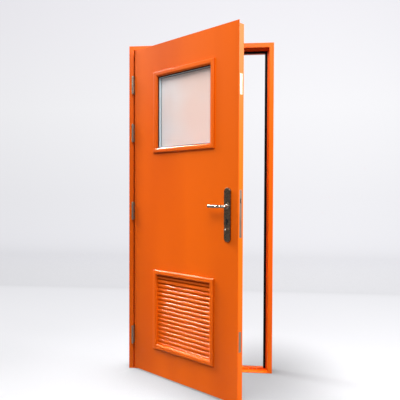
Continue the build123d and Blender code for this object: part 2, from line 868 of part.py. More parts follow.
for (centre, length), block, name in zip(faceplates, faceplate_blocks(0, plate_back),
                                         ("main", "lower", "upper")):
    with BuildPart() as faceplate:
        add(block)
        fillet(faceplate.edges().filter_by(Axis.X), faceplate_round)
        if name == "main":
            add(slide_pocket(latch_height, latch_tall, latch_thick, latch_length),
                mode=Mode.SUBTRACT)
            add(slide_pocket(deadbolt_height, deadbolt_tall, deadbolt_thick,
                             deadbolt_length), mode=Mode.SUBTRACT)
        else:
            add(round_bolts(centre, side_bolt_radius + bolt_clearance, plate_back,
                            body_edge), mode=Mode.SUBTRACT)
        with BuildSketch(side_on(plate_back, lock_depth, centre)):
            with Locations((0, plate_screw_end - length / 2),
                           (0, length / 2 - plate_screw_end)):
                Circle(plate_screw_radius)
        extrude(amount=faceplate_thickness, mode=Mode.SUBTRACT)
    save_on_leaf(faceplate.part, f"{name}_faceplate")

latch_back = body_edge - latch_length
latch_outer = lock_depth - latch_thick / 2
with BuildPart() as latch_bolt:
    with BuildSketch(Plane.XY.offset(latch_height - latch_tall / 2)):
        with BuildLine():
            Polyline(
                (latch_back, latch_outer),
                (body_edge, latch_outer),
                (body_edge, latch_outer + latch_nose),
                (body_edge - latch_thick + latch_nose, latch_outer + latch_thick),
                (latch_back, latch_outer + latch_thick),
                close=True,
            )
        make_face()
    extrude(amount=latch_tall)
save_on_leaf(latch_bolt.part, "latch_bolt")

with BuildPart() as main_deadbolt:
    add(leaf_block(body_edge - deadbolt_length, body_edge,
                   lock_depth - deadbolt_thick / 2, lock_depth + deadbolt_thick / 2,
                   deadbolt_height - deadbolt_tall / 2, deadbolt_height + deadbolt_tall / 2))
    chamfer(main_deadbolt.edges().filter_by(Axis.Z).group_by(Axis.X)[-1], deadbolt_chamfer)
save_on_leaf(main_deadbolt.part, "main_deadbolt")

save_on_leaf(rod_block(upper_rod_ends, 0), "upper_drive_rod")
save_on_leaf(rod_block(lower_rod_ends, 0), "lower_drive_rod")

# Cylinder and its plug, which a key turns

with BuildPart() as euro_cylinder:
    with BuildSketch(upright(lock_x, leaf_thickness + plate_thickness + cylinder_proud,
                             cylinder_height)):
        add(euro_profile(0))
    extrude(amount=leaf_thickness + 2 * (plate_thickness + cylinder_proud))
    with BuildSketch(upright(lock_x, plug_back, cylinder_height)):
        Circle(plug_radius + pin_clearance)
    extrude(amount=plug_back + plate_thickness + cylinder_proud, mode=Mode.SUBTRACT)
save_on_leaf(euro_cylinder.part, "euro_cylinder")

with BuildPart() as cylinder_plug:
    with BuildSketch(upright(lock_x, plug_back, cylinder_height)):
        Circle(plug_radius)
    extrude(amount=plug_back + plate_thickness + cylinder_proud)
    with BuildSketch(upright(lock_x, -plate_thickness - cylinder_proud + keyway_depth,
                             cylinder_height)):
        Rectangle(keyway_width, keyway_tall)
    extrude(amount=keyway_depth, mode=Mode.SUBTRACT)
save_on_leaf(cylinder_plug.part, "cylinder_plug")

# Handles: a plate, a bent round lever on each face, and the square spindle through both


def backplate(toward):
    """The long plate of one face: toward is -1 outside and 1 inside."""
    surface = 0 if toward < 0 else leaf_thickness
    length = plate_above_lever + plate_below_lever
    middle = lever_height + (plate_above_lever - plate_below_lever) / 2
    seat = Plane(origin=(lock_x, surface, middle), x_dir=(-toward, 0, 0), z_dir=(0, toward, 0))
    with BuildPart() as plate:
        with BuildSketch(seat):
            SlotOverall(length, plate_width, rotation=90)
        extrude(amount=plate_thickness)
        outer_edges = plate.faces().sort_by(Axis.Y)[0 if toward < 0 else -1].edges()
        fillet(outer_edges, plate_edge_round)
        add(lock_holes(lever_radius + running_gap, lock_hole_gap, toward < 0),
            mode=Mode.SUBTRACT)
        if toward < 0:
            with BuildSketch(seat.offset(plate_thickness)):
                with Locations(*[(0, place[1] + lever_height - middle)
                                 for place in plate_bolt_places]):
                    Circle(plate_bolt_radius)
            extrude(amount=-plate_skin)
    return plate.part


def lever(toward):
    """A round bar from the plate out, across towards the hinges and back to the leaf."""
    surface = 0 if toward < 0 else leaf_thickness
    root = surface + toward * lever_root
    reach = surface + toward * (lever_proud - lever_radius)
    tip_x = lock_x - lever_length + lever_radius
    with BuildPart() as bar:
        with BuildLine():
            FilletPolyline(
                (lock_x, root, lever_height),
                (lock_x, reach, lever_height),
                (tip_x, reach, lever_height),
                (tip_x, reach - toward * lever_return, lever_height),
                radius=lever_bend,
            )
        with BuildSketch(Plane(origin=(lock_x, root, lever_height), z_dir=(0, toward, 0))):
            Circle(lever_radius)
        sweep()
        with BuildSketch(Plane(origin=(lock_x, root, lever_height), z_dir=(0, toward, 0))):
            Rectangle(spindle_size, spindle_size)
        extrude(amount=spindle_seat, mode=Mode.SUBTRACT)
    return bar.part


for toward, name in ((-1, "outer"), (1, "inner")):
    save_on_leaf(backplate(toward), f"{name}_backplate")
    save_on_leaf(lever(toward), f"lever_{name}")

spindle_end = lever_root + spindle_seat
with BuildPart() as lever_spindle:
    with BuildSketch(upright(lock_x, leaf_thickness + spindle_end, lever_height)):
        Rectangle(spindle_size, spindle_size)
    extrude(amount=leaf_thickness + 2 * spindle_end)
save_on_leaf(lever_spindle.part, "lever_spindle")

plate_bolts = []
for place in plate_bolt_places:
    with BuildPart() as plate_bolt:
        with BuildSketch(upright(lock_x + place[0], leaf_thickness + plate_thickness,
                                 lever_height + place[1])):
            Circle(plate_bolt_radius - screw_slack)
        extrude(amount=leaf_thickness + 2 * plate_thickness - plate_skin)
    plate_bolts.append(plate_bolt.part.solid())
save_on_leaf(Compound(children=plate_bolts), "backplate_bolts")

with BuildPart() as turn_knob:
    with BuildSketch(upright(lock_x, -plate_thickness - running_gap, knob_height)):
        Circle(knob_radius)
    extrude(amount=knob_proud)
    fillet(turn_knob.edges().sort_by(Axis.Y)[0], knob_round)
    with BuildSketch(upright(lock_x, lock_depth, knob_height)):
        Circle(knob_shaft_radius)
    extrude(amount=lock_depth + plate_thickness + running_gap)
save_on_leaf(turn_knob.part, "turn_knob")
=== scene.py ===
# %% [markdown]
# # A louvred steel door, standing open
#
# The CAD model already holds every sheet, bolt and pane in its place. This script loads it,
# points a camera at it from where the photograph was taken, sets up a pale studio, and gives
# each part the finish of the real one. A few parts whose looks depend on fine edges, the
# louvre, the beads, the seals, the handles and the screws, are made again here with more detail.
#
# The scene counts in metres, in the frame of the CAD model. Sizes that a maker would read off a
# drawing are written in millimetres and multiplied by MM.

# %% Load the model
import json
import math

import bmesh
import bpy
from mathutils import Matrix, Vector


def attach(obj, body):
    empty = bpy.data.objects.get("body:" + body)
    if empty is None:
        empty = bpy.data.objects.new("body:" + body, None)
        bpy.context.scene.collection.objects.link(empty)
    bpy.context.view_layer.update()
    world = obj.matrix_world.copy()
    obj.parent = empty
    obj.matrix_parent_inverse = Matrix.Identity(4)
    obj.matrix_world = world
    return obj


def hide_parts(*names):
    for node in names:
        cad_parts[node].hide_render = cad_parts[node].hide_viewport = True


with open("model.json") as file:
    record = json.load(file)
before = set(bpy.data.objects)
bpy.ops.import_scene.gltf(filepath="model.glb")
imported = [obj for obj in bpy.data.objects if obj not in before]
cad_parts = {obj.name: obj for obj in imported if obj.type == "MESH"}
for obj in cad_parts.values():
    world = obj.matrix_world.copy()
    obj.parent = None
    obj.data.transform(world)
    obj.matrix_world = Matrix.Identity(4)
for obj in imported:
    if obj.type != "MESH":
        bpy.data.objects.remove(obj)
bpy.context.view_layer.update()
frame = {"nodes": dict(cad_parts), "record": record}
nodes = frame["nodes"]

scene = bpy.context.scene
scene.view_settings.view_transform = "Standard"

# %% [markdown]
# ## The swing of the leaf
#
# The leaf stands open, turned about its hinge pins. Its pieces are easier to think of on a shut
# door, where across is X, into the wall is Y and up is Z. So each new piece of the leaf is made
# shut and its points are then turned by the one matrix below, which leaves the object itself
# at the origin.

# %% The leaf's turn about its pins
MM = 0.001
pin_x = -421.5 * MM
pin_y = -11.0 * MM
open_angle = math.radians(37.33)
shut_lock_edge = Vector((416.5 * MM, 0, 1.0))
to_pin = Matrix.Translation((pin_x, pin_y, 0))
leaf_turn = to_pin @ Matrix.Rotation(-open_angle, 4, "Z") @ to_pin.inverted()
print("lock edge swings to", [round(v, 3) for v in leaf_turn @ shut_lock_edge])

# %% [markdown]
# ## The camera
#
# A camera can be worked out from the photograph: the corners of the frame and of the leaf were
# matched to known sizes, which gives where it stood, where it looked and how long its lens was.
# The frame leans back a touch and the picture is cropped a little high, so there is a small
# roll and a small shift as well.

# %% Camera
yaw = -0.105
pitch = -0.0218
roll = 0.0037
camera_spot = Vector((0.32377, -3.07444, 1.09417))
look = Vector((math.sin(yaw) * math.cos(pitch), math.cos(yaw) * math.cos(pitch), math.sin(pitch)))
across = Vector((math.cos(yaw), -math.sin(yaw), 0))
upward = across.cross(look)
camera_x = math.cos(roll) * across + math.sin(roll) * upward
camera_y = -math.sin(roll) * across + math.cos(roll) * upward

camera_data = bpy.data.cameras.new("camera")
camera_data.sensor_width = 36.0
camera_data.lens = 44.97
camera_data.shift_y = 0.0148
camera = bpy.data.objects.new("camera", camera_data)
scene.collection.objects.link(camera)
camera.matrix_world = Matrix((
    (camera_x.x, camera_y.x, -look.x, camera_spot.x),
    (camera_x.y, camera_y.y, -look.y, camera_spot.y),
    (camera_x.z, camera_y.z, -look.z, camera_spot.z),
    (0, 0, 0, 1),
))
scene.camera = camera
print("camera looks along", [round(v, 3) for v in look])

# %% [markdown]
# ## Small helpers
#
# Colours are written as the hex values that a picture shows, and one function turns them into
# the linear values that a renderer counts in. One more adds a node, with its settings and with
# what comes into its sockets: a value, or another node's output to link. Each mesh that is drawn
# point by point below becomes an object in the same few steps, so they are a function as well.


# %% Helpers for colours, nodes and objects
def linear(code):
    """A colour written as sRGB hex, as linear RGBA."""
    parts = [int(code[i:i + 2], 16) / 255 for i in (1, 3, 5)]
    return [p / 12.92 if p <= 0.04045 else ((p + 0.055) / 1.055) ** 2.4 for p in parts] + [1.0]


def add_node(tree, kind, sockets=None, **settings):
    """A node of a kind in a tree, with its settings, and its inputs given or linked."""
    node = tree.nodes.new(kind)
    for name, value in settings.items():
        setattr(node, name, value)
    for name, value in (sockets or {}).items():
        socket = node.inputs[name]
        if isinstance(value, bpy.types.NodeSocket):
            tree.links.new(value, socket)
        else:
            socket.default_value = value
    return node


def new_material(name):
    """An empty material with its output and a Principled shader joined."""
    material = bpy.data.materials.new(name)
    material.use_nodes = True
    tree = material.node_tree
    tree.nodes.clear()
    output = add_node(tree, "ShaderNodeOutputMaterial")
    shader = add_node(tree, "ShaderNodeBsdfPrincipled")
    tree.links.new(shader.outputs[0], output.inputs[0])
    place = add_node(tree, "ShaderNodeTexCoord").outputs["Object"]
    return material, tree, shader, place


def object_from(work, name, finish=None):
    """A drawn mesh as an object in the scene, with its finish."""
    data = bpy.data.meshes.new(name)
    work.to_mesh(data)
    work.free()
    if finish is not None:
        data.materials.append(finish)
    thing = bpy.data.objects.new(name, data)
    scene.collection.objects.link(thing)
    return thing


# %% [markdown]
# ## The studio
#
# The door stands on a pale floor that meets a pale wall some three metres behind. What the
# camera sees there is mostly the surface's own colour, given by an emission that only camera,
# glossy and transmission rays meet, so that no lamp has to be turned up for it. A share of plain
# diffuse stays in the mix, and that share is what carries the door's soft shadow.

# %% Floor and wall
wall_y = 3.0
wall_top = 12.0
floor_front = -14.0
sheet_half_width = 12.0
cove = 0.35
cove_steps = 12

section = [(floor_front, 0.0), (wall_y - cove, 0.0)]
for step in range(1, cove_steps):
    turn = math.radians(90 * step / cove_steps)
    section.append((wall_y - cove + cove * math.sin(turn), cove - cove * math.cos(turn)))
section += [(wall_y, cove), (wall_y, wall_top)]
work = bmesh.new()
left, right = [[work.verts.new((x, y, z)) for y, z in section]
               for x in (-sheet_half_width, sheet_half_width)]
for i in range(len(section) - 1):
    work.faces.new((left[i], right[i], right[i + 1], left[i + 1]))
studio = object_from(work, "studio")
for face in studio.data.polygons:
    face.use_smooth = True
print("the sheet turns up into the wall over", len(section), "lines")

# %% [markdown]
# ## The paper of the sweep
#
# White paper in a studio isn't one tone. It drifts up the wall and falls off to the sides, a
# soft shade lies on the floor round the lock side, where the leaf keeps the left-hand light off,
# and the paper is darkest right under the door. Lamps alone would have to be many to do that, so
# gradients multiplied together draw it. Where the door mirrors the paper or is lit by it, the
# paper is darker, as a real one a step away from the lamps is.

# %% Tones of the paper
paper = bpy.data.materials.new("white_paper_sweep")
paper.use_nodes = True
tree = paper.node_tree
tree.nodes.clear()
place = add_node(tree, "ShaderNodeTexCoord").outputs["Object"]
split = add_node(tree, "ShaderNodeSeparateXYZ", {0: place})
# Up the wall the tone goes through these stops, the last one 3.4 m above the floor
ramp_height = 3.6
up_wall = add_node(tree, "ShaderNodeMath", {0: split.outputs["Z"], 1: ramp_height},
                   operation="DIVIDE")
wall_tone = add_node(tree, "ShaderNodeValToRGB", {0: up_wall.outputs[0]})
stops = wall_tone.color_ramp
stops.elements[0].position = 0.02
stops.elements[0].color = linear("#f0f0f4")
stops.elements[1].position = 0.95
stops.elements[1].color = linear("#f0eff4")
for position, code in ((0.08, "#eeeef3"), (0.3, "#eeeef2"), (0.6, "#f4f4f7")):
    stop = stops.elements.new(position)
    stop.color = linear(code)
# The floor is lightest towards the camera
floor_tone = add_node(tree, "ShaderNodeMapRange", {
    "Value": split.outputs["Y"], "From Min": -0.4, "From Max": 2.6,
    "To Min": 1.0, "To Max": 0.0}).outputs[0]
floor_colour = add_node(tree, "ShaderNodeMix", {
    0: floor_tone, 6: linear("#efeff3"), 7: linear("#f4f4f7")}, data_type="RGBA").outputs[2]
on_wall = add_node(tree, "ShaderNodeMapRange", {
    "Value": split.outputs["Z"], "From Min": 0.0, "From Max": 0.3}).outputs[0]
colour = add_node(tree, "ShaderNodeMix", {
    0: on_wall, 6: floor_colour, 7: wall_tone.outputs[0]}, data_type="RGBA").outputs[2]
# Both sides of the sweep fall off a little
lightest_x = 0.6
aside = add_node(tree, "ShaderNodeMath", {0: split.outputs["X"], 1: lightest_x},
                 operation="SUBTRACT")
aside = add_node(tree, "ShaderNodeMath", {0: aside.outputs[0]}, operation="ABSOLUTE")
far = add_node(tree, "ShaderNodeMapRange", {
    "Value": aside.outputs[0], "From Min": 0.6, "From Max": 3.4,
    "To Min": 1.0, "To Max": 0.95}).outputs[0]
shade = add_node(tree, "ShaderNodeMix", {0: 1.0, 6: colour, 7: far}, data_type="RGBA",
                 blend_type="MULTIPLY").outputs[2]
# The soft shade round the lock side is a ball of grey 0.4 m to the right of the middle
pool_place = add_node(tree, "ShaderNodeMapping", {
    "Vector": place, "Location": (-0.60, 0.0, 0.0), "Scale": (1.5, 1.05, 1.5)})
pool = add_node(tree, "ShaderNodeTexGradient", {0: pool_place.outputs[0]},
                gradient_type="SPHERICAL")
pool_tone = add_node(tree, "ShaderNodeMapRange", {
    "Value": pool.outputs["Fac"], "To Min": 1.0, "To Max": 0.55},
    interpolation_type="SMOOTHSTEP")
shade = add_node(tree, "ShaderNodeMix", {0: 1.0, 6: shade, 7: pool_tone.outputs[0]},
                 data_type="RGBA", blend_type="MULTIPLY").outputs[2]
# Close under the door the paper is shaded by it, as far out as half a metre
nearby = add_node(tree, "ShaderNodeAmbientOcclusion", {"Distance": 0.55}, samples=12)
contact = add_node(tree, "ShaderNodeMapRange", {
    "Value": nearby.outputs["AO"], "From Min": 0.35, "From Max": 0.97,
    "To Min": 0.45, "To Max": 1.0})
resting = add_node(tree, "ShaderNodeMix", {0: 1.0, 6: shade, 7: contact.outputs[0]},
                   data_type="RGBA", blend_type="MULTIPLY").outputs[2]
print("the paper's tone is made by", len(tree.nodes), "nodes")

# %% Paper as it is seen and as it lights the door
paths = add_node(tree, "ShaderNodeLightPath")
seen = add_node(tree, "ShaderNodeMath", {
    0: paths.outputs["Is Camera Ray"], 1: paths.outputs["Is Glossy Ray"]}, operation="MAXIMUM")
seen = add_node(tree, "ShaderNodeMath", {
    0: seen.outputs[0], 1: paths.outputs["Is Transmission Ray"]}, operation="MAXIMUM")
# In a reflection the paper is a third as bright
level = add_node(tree, "ShaderNodeMapRange", {
    "Value": paths.outputs["Is Glossy Ray"], "To Min": 1.0, "To Max": 0.3})
glow = add_node(tree, "ShaderNodeEmission", {"Color": resting, "Strength": level.outputs[0]})
paper_white = add_node(tree, "ShaderNodeBsdfDiffuse", {"Color": shade})
shadow_share = 0.12
shown = add_node(tree, "ShaderNodeMixShader", {
    0: shadow_share, 1: glow.outputs[0], 2: paper_white.outputs[0]})
# Towards the door the paper gives back less light than its colour would
bounce = add_node(tree, "ShaderNodeBsdfDiffuse", {"Color": linear("#6c6c6e")})
either = add_node(tree, "ShaderNodeMixShader", {
    0: seen.outputs[0], 1: bounce.outputs[0], 2: shown.outputs[0]})
add_node(tree, "ShaderNodeOutputMaterial", {"Surface": either.outputs[0]})
studio.data.materials.append(paper)
print("finished", paper.name)

# %% [markdown]
# ## The light
#
# The photograph has soft, even light. The face of the leaf is lit from above and from the left,
# its lock edge more strongly from the right, and there is no hard shadow. Three large soft
# lamps and a pale sky round them do that, at a level where a colour renders about as it is
# written. A fourth one has a narrow beam and is the light that runs along the louvre's blades.

# %% Lamps
# Each lamp's place, where it looks, its width, its power in watts and its beam in degrees
lamps = {
    "left_high": ((-3.6, 0.3, 3.6), (-0.3, -0.1, 1.7), 2.6, 26.0, 180),
    "front_high": ((-0.3, -2.9, 4.2), (-0.1, -0.2, 1.4), 2.2, 174.0, 180),
    "right_side": ((3.6, -1.0, 2.9), (0.25, -0.4, 1.1), 1.2, 310.0, 180),
    "over_louvre": ((-3.2, 1.2, 3.9), (0.0, -0.3, 0.25), 1.1, 18.0, 30),
}
for name, (spot, target, size, power, beam) in lamps.items():
    lamp = bpy.data.lights.new(name, "AREA")
    lamp.shape = "SQUARE"
    lamp.size = size
    lamp.energy = power
    lamp.spread = math.radians(beam)
    holder = bpy.data.objects.new(name, lamp)
    scene.collection.objects.link(holder)
    holder.location = spot
    holder.rotation_mode = "QUATERNION"
    holder.rotation_quaternion = (Vector(target) - Vector(spot)).to_track_quat("-Z", "Y")
print(len(lamps), "lamps")

# %% Sky
sky = bpy.data.worlds.new("pale_sky")
scene.world = sky
sky.use_nodes = True
sky_light = sky.node_tree.nodes["Background"]
sky_light.inputs["Color"].default_value = linear("#f2f4f8")
# The camera sees the sky as pale as the sweep, in views that look past the sweep's edge
sky_path = add_node(sky.node_tree, "ShaderNodeLightPath")
sky_level = add_node(sky.node_tree, "ShaderNodeMapRange", {
    "Value": sky_path.outputs["Is Camera Ray"], "To Min": 0.26, "To Max": 0.93})
sky.node_tree.links.new(sky_level.outputs[0], sky_light.inputs["Strength"])
print("sky", sky.name)

# %% [markdown]
# ## Powder-coated steel
#
# Doors like this are sprayed with orange polyester powder and baked. The melted powder lies in
# a film with a faint orange-peel ripple, satin rather than glossy. The ripple on the real door
# is some 2 mm across and a few hundredths deep. It is drawn at 4 mm, because the true one would
# be lost in this picture. Broad upright bands of a deeper and a lighter orange, some 0.3 m wide,
# are painted reflection: the leaf mirrors darker and lighter things round it, and that is drawn
# into its colour. A noise stretched upwards draws them.

# %% Orange powder coat
powder, tree, shader, place = new_material("orange_powder_coat")
band_place = add_node(tree, "ShaderNodeMapping", {
    "Vector": place, "Location": (0.35, 0.0, 0.0), "Scale": (3.4, 3.4, 0.5)})
drift = add_node(tree, "ShaderNodeTexNoise", {
    "Vector": band_place.outputs[0], "Scale": 1.0, "Detail": 1.0})
# Painted reflection: the upright bands of a deeper and a lighter orange across the leaf
painted_reflection_band = add_node(tree, "ShaderNodeMapRange", {
    "Value": drift.outputs["Fac"], "From Min": 0.3, "From Max": 0.6}).outputs[0]
tone = add_node(tree, "ShaderNodeMix", {
    0: painted_reflection_band, 6: linear("#d95600"), 7: linear("#ea6300")}, data_type="RGBA").outputs[2]
ripple_width = 4 * MM
ripple = add_node(tree, "ShaderNodeTexNoise", {
    "Vector": place, "Scale": 1 / ripple_width, "Detail": 1.0})
peel = add_node(tree, "ShaderNodeBump", {
    "Height": ripple.outputs["Fac"], "Strength": 0.03, "Distance": 0.0002})
rough = add_node(tree, "ShaderNodeMapRange", {
    "Value": drift.outputs["Fac"], "To Min": 0.30, "To Max": 0.36})
for name, value in (("Base Color", tone), ("Normal", peel.outputs[0]),
                    ("Roughness", rough.outputs[0])):
    tree.links.new(value, shader.inputs[name])
shader.inputs["IOR"].default_value = 1.5
shader.inputs["Specular IOR Level"].default_value = 0.25
print("finished", powder.name)

# %% [markdown]
# ## Rubber, glass and the metals
#
# The seals are black EPDM rubber, dull with a faint bloom. The outer pane is clear and the inner
# one is etched, which makes it satin: light comes through but no shape does. The spacer between
# them is mill aluminium, pale and a little blue. The hinges and faceplates are brushed stainless
# steel, the plates a dark polished nickel and the levers a satin one. The steel inside is zinc
# plated. Most of these are one tone that drifts towards another in patches, and some are duller
# in one patch than in the next, so one function makes them.


# %% Finish that drifts between two tones
def mottled(name, dark, pale, scale, detail, rough, metallic=0.0, specular=0.5, stretch=None):
    """A material between two tones, with one roughness or a pair that it drifts between."""
    material, tree, shader, place = new_material(name)
    if stretch is not None:
        place = add_node(tree, "ShaderNodeMapping", {
            "Vector": place, "Scale": stretch}).outputs[0]
    pattern = add_node(tree, "ShaderNodeTexNoise", {
        "Vector": place, "Scale": scale, "Detail": detail}).outputs["Fac"]
    tone = add_node(tree, "ShaderNodeMix", {
        0: pattern, 6: linear(dark), 7: linear(pale)}, data_type="RGBA").outputs[2]
    tree.links.new(tone, shader.inputs["Base Color"])
    if isinstance(rough, tuple):
        drifting = add_node(tree, "ShaderNodeMapRange", {
            "Value": pattern, "To Min": rough[0], "To Max": rough[1]}).outputs[0]
        tree.links.new(drifting, shader.inputs["Roughness"])
    else:
        shader.inputs["Roughness"].default_value = rough
    shader.inputs["Metallic"].default_value = metallic
    shader.inputs["Specular IOR Level"].default_value = specular
    return material


# %% EPDM rubber
# Extruded rubber is nearly black and dull, with a bloom in patches some 17 mm across
rubber = mottled("epdm_rubber", "#060303", "#0e0a0b", 60.0, 3.0, (0.5, 0.75), specular=0.1)
print("finished", rubber.name)

# %% Clear glass
# Float glass is smooth and clear, so the eye meets its reflection and hardly its colour
clear, tree, shader, place = new_material("float_glass")
shader.inputs["Base Color"].default_value = linear("#eef3f2")
shader.inputs["Roughness"].default_value = 0.03
shader.inputs["IOR"].default_value = 1.52
shader.inputs["Alpha"].default_value = 0.06
print("finished", clear.name)

# %% Satin glass
# Etched glass blurs what is behind it to a veil of light. The veil is a cool white at the hinge
# side. Towards the lock a painted reflection of the orange steel gives it a blush, with soft
# clouds 0.2 m across. The etching's grain is drawn 1 mm wide, which is far coarser than the real
# one, so that it shows.
glass, tree, shader, place = new_material("satin_etched_glass")
etch = add_node(tree, "ShaderNodeTexNoise", {"Vector": place, "Scale": 900.0, "Detail": 1.0})
cloud = add_node(tree, "ShaderNodeTexNoise", {"Vector": place, "Scale": 5.0, "Detail": 1.0})
aside = add_node(tree, "ShaderNodeSeparateXYZ", {0: place}).outputs["X"]
# Painted reflection: the blush of the orange steel grows towards the lock side
warm = add_node(tree, "ShaderNodeMapRange", {
    "Value": aside, "From Min": -0.26, "From Max": -0.02}).outputs[0]
painted_blush = add_node(tree, "ShaderNodeMath", {
    0: warm, 1: cloud.outputs["Fac"]}, operation="ADD").outputs[0]
painted_blush = add_node(tree, "ShaderNodeMath", {0: painted_blush, 1: 0.5}, operation="SUBTRACT").outputs[0]
veil = add_node(tree, "ShaderNodeMix", {
    0: painted_blush, 6: linear("#f6f2f3"), 7: linear("#fbd9cb")}, data_type="RGBA").outputs[2]
frost = add_node(tree, "ShaderNodeBump", {
    "Height": etch.outputs["Fac"], "Strength": 0.05, "Distance": 0.0002})
tree.links.new(veil, shader.inputs["Base Color"])
tree.links.new(frost.outputs[0], shader.inputs["Normal"])
shader.inputs["Roughness"].default_value = 0.38
shader.inputs["IOR"].default_value = 1.52
shader.inputs["Transmission Weight"].default_value = 0.15
print("finished", glass.name)

# %% Metals and board
# Mill-finished aluminium is pale, a little blue and without a clear reflection
spacer_metal = mottled("mill_aluminium", "#cbe0ea", "#dcebf2", 120.0, 2.0, 0.45, metallic=0.1)

# Brushed stainless steel has upright marks, drawn 1 mm apart and 55 mm long, which is as coarse
# as they need to be to show. They spread its reflection and give it a warm grey
brush_marks = (900.0, 900.0, 18.0)
stainless = mottled("brushed_stainless_steel", "#8d8172", "#c4b8a6", 1.0, 3.0, (0.28, 0.45),
                    metallic=1.0, stretch=brush_marks)

# Polished dark nickel is brown-grey with a clear reflection, and hands dull it in patches
nickel = mottled("dark_nickel", "#6c5a49", "#94806c", 70.0, 3.0, (0.2, 0.34), metallic=1.0)

# Satin nickel is paler, and its reflection is soft all over
bright = mottled("satin_nickel", "#a2978b", "#c6bcb1", 90.0, 3.0, 0.27, metallic=1.0)

# Black oxide on the cylinder is matt and hardly lighter than the hole for the key
black_metal = mottled("black_oxide_cylinder", "#060405", "#100c0c", 200.0, 2.0, 0.55)

# Mineral board is pressed from fibres, dry and quite dull, in flecks 3 mm across
mineral = mottled("mineral_board", "#7d6f45", "#b3a273", 300.0, 4.0, 0.95)

# Zinc plate has a spangle of grey crystals, each some 7 mm across
zinc, tree, shader, place = new_material("zinc_plate")
spangle = add_node(tree, "ShaderNodeTexVoronoi", {"Vector": place, "Scale": 140.0})
tone = add_node(tree, "ShaderNodeMix", {
    0: spangle.outputs["Color"], 6: linear("#9a9da0"), 7: linear("#b9bcbe")},
    data_type="RGBA").outputs[2]
tree.links.new(tone, shader.inputs["Base Color"])
shader.inputs["Metallic"].default_value = 1.0
shader.inputs["Roughness"].default_value = 0.42
print(len(bpy.data.materials), "materials so far")

# %% [markdown]
# ## Finishes on the CAD model
#
# Every solid of the CAD model says what it is made of, by the name of a slot. One table from
# those names to the finishes above then dresses all the solids at once, which is less to keep
# in step than a line for each. The one that differs from its slot is the outer pane.

# %% Finishes on the CAD nodes
finish_of_slot = {
    "powder_coated_steel": powder,
    "black_rubber": rubber,
    "satin_glass": glass,
    "spacer_aluminium": spacer_metal,
    "mineral_board": mineral,
    "zinc_plated_steel": zinc,
    "stainless_steel": stainless,
    "polished_handle_steel": nickel,
    "black_cylinder": black_metal,
}
for part in frame["record"]["subparts"]:
    finish = finish_of_slot[part["material_slot"]]
    mesh = nodes[part["node"]].data
    mesh.materials.clear()
    mesh.materials.append(finish)
nodes["outer_pane"].data.materials[0] = clear

# %% [markdown]
# ## The louvre's blades
#
# The real louvre has a row of equal blades, each one strip of sheet with a lip at its front, a
# slope that sheds the rain and a short upstand at its back. Copies placed by hand would be
# tedious to change. Geometry Nodes do it by rule: the section is drawn once, its folds are
# rounded, it is pulled out to the blade's length and repeated at the pitch. A Solidify modifier
# then gives every blade the thickness of the sheet.

# %% Section of a blade
panel_x = 9.5 * MM
panel_width = 485.0 * MM
louvre_base = 170.0 * MM
louvre_height = 475.0 * MM
blade_span = 456.0 * MM
blade_count = 17
blade_pitch = 25.0 * MM
first_blade_up = 35.5 * MM
blade_fold = 4.5 * MM
blade_sheet = 1.2 * MM
blade_section = [(4.0, -10.0), (4.0, 0.0), (26.0, 20.0), (26.0, 26.0)]

section_curve = bpy.data.curves.new("blade_section", "CURVE")
section_curve.dimensions = "3D"
spline = section_curve.splines.new("POLY")
spline.points.add(len(blade_section) - 1)
for point, (y, z) in zip(spline.points, blade_section):
    point.co = (panel_x - blade_span / 2, y * MM, z * MM, 1)
blades = bpy.data.objects.new("louvre_slats", section_curve)
scene.collection.objects.link(blades)
print("a blade is", blade_span / MM, "mm long")

# %% Node tree of the louvre
louvre_tree = bpy.data.node_groups.new("louvre_by_rule", "GeometryNodeTree")
for name, kind in (("Section", "NodeSocketGeometry"), ("Fold radius", "NodeSocketFloat"),
                   ("Blade length", "NodeSocketFloat"), ("Blade count", "NodeSocketInt"),
                   ("Pitch", "NodeSocketFloat"), ("First height", "NodeSocketFloat"),
                   ("Finish", "NodeSocketMaterial")):
    louvre_tree.interface.new_socket(name, in_out="INPUT", socket_type=kind)
louvre_tree.interface.new_socket("Blades", in_out="OUTPUT", socket_type="NodeSocketGeometry")
given = add_node(louvre_tree, "NodeGroupInput").outputs
rounded = add_node(louvre_tree, "GeometryNodeFilletCurve", {
    "Curve": given["Section"], "Radius": given["Fold radius"], "Count": 6}, mode="POLY")
edge = add_node(louvre_tree, "GeometryNodeCurveToMesh", {"Curve": rounded.outputs[0]})
along = add_node(louvre_tree, "ShaderNodeCombineXYZ", {"X": given["Blade length"]})
strip = add_node(louvre_tree, "GeometryNodeExtrudeMesh", {
    "Mesh": edge.outputs[0], "Offset": along.outputs[0], "Offset Scale": 1.0}, mode="EDGES")
step_up = add_node(louvre_tree, "ShaderNodeCombineXYZ", {"Z": given["Pitch"]})
start_up = add_node(louvre_tree, "ShaderNodeCombineXYZ", {"Z": given["First height"]})
places = add_node(louvre_tree, "GeometryNodeMeshLine", {
    "Count": given["Blade count"], "Start Location": start_up.outputs[0],
    "Offset": step_up.outputs[0]}, mode="OFFSET")
row = add_node(louvre_tree, "GeometryNodeInstanceOnPoints", {
    "Points": places.outputs[0], "Instance": strip.outputs[0]})
real = add_node(louvre_tree, "GeometryNodeRealizeInstances", {"Geometry": row.outputs[0]})
coated = add_node(louvre_tree, "GeometryNodeSetMaterial", {
    "Geometry": real.outputs[0], "Material": given["Finish"]})
add_node(louvre_tree, "NodeGroupOutput", {"Blades": coated.outputs[0]})
print(louvre_tree.name, "has", len(louvre_tree.nodes), "nodes")


# %% Helpers for a finished mesh
def set_inputs(modifier, values):
    """Give a Geometry Nodes modifier its named inputs."""
    for item in modifier.node_group.interface.items_tree:
        if item.in_out == "INPUT" and item.name in values:
            modifier[item.identifier] = values[item.name]


